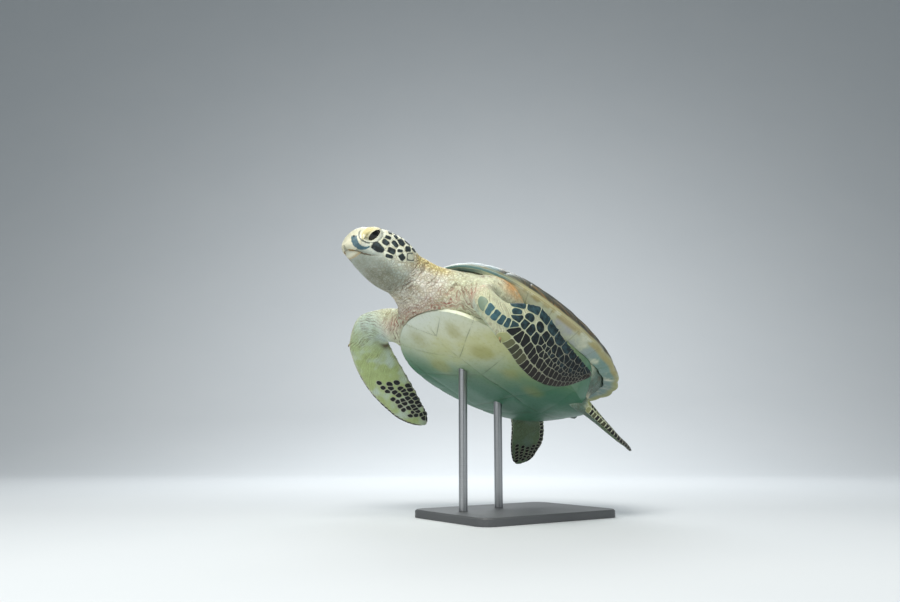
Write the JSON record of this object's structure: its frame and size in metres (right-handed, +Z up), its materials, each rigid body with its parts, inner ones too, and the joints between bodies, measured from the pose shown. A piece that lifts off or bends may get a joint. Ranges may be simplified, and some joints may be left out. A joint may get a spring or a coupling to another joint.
{
  "type": "green sea turtle model",
  "caption": "Life-size model of a young green sea turtle swimming upwards, flippers swept down and back, held by rods on a flat base.",
  "frame": {"origin": "centre of the underside of the stand base", "axes": "+Z up, -Y the way the turtle's head points, +X towards the turtle's left side"},
  "size_m": [0.5053, 0.651, 0.5689],
  "materials": {
    "carapace": "satin",
    "plastron": "satin",
    "trunk": "matte",
    "neck": "matte",
    "head": "satin",
    "beak_upper": "satin",
    "beak_lower": "satin",
    "eye_left": "gloss",
    "eye_right": "gloss",
    "flipper_front_left": "satin",
    "flipper_front_right": "satin",
    "flipper_hind_left": "satin",
    "flipper_hind_right": "satin",
    "tail": "matte",
    "stand_base": "matte",
    "stand_rod_front": "matte",
    "stand_rod_rear": "matte"
  },
  "bodies": {
    "root": {"carapace": "carapace", "plastron": "plastron", "trunk": "trunk", "neck": "neck", "head": "head", "beak_upper": "beak_upper", "beak_lower": "beak_lower", "eye_left": "eye_left", "eye_right": "eye_right", "flipper_front_left": "flipper_front_left", "flipper_front_right": "flipper_front_right", "flipper_hind_left": "flipper_hind_left", "flipper_hind_right": "flipper_hind_right", "tail": "tail", "stand_base": "stand_base", "stand_rod_front": "stand_rod_front", "stand_rod_rear": "stand_rod_rear"}
  },
  "joints": []
}
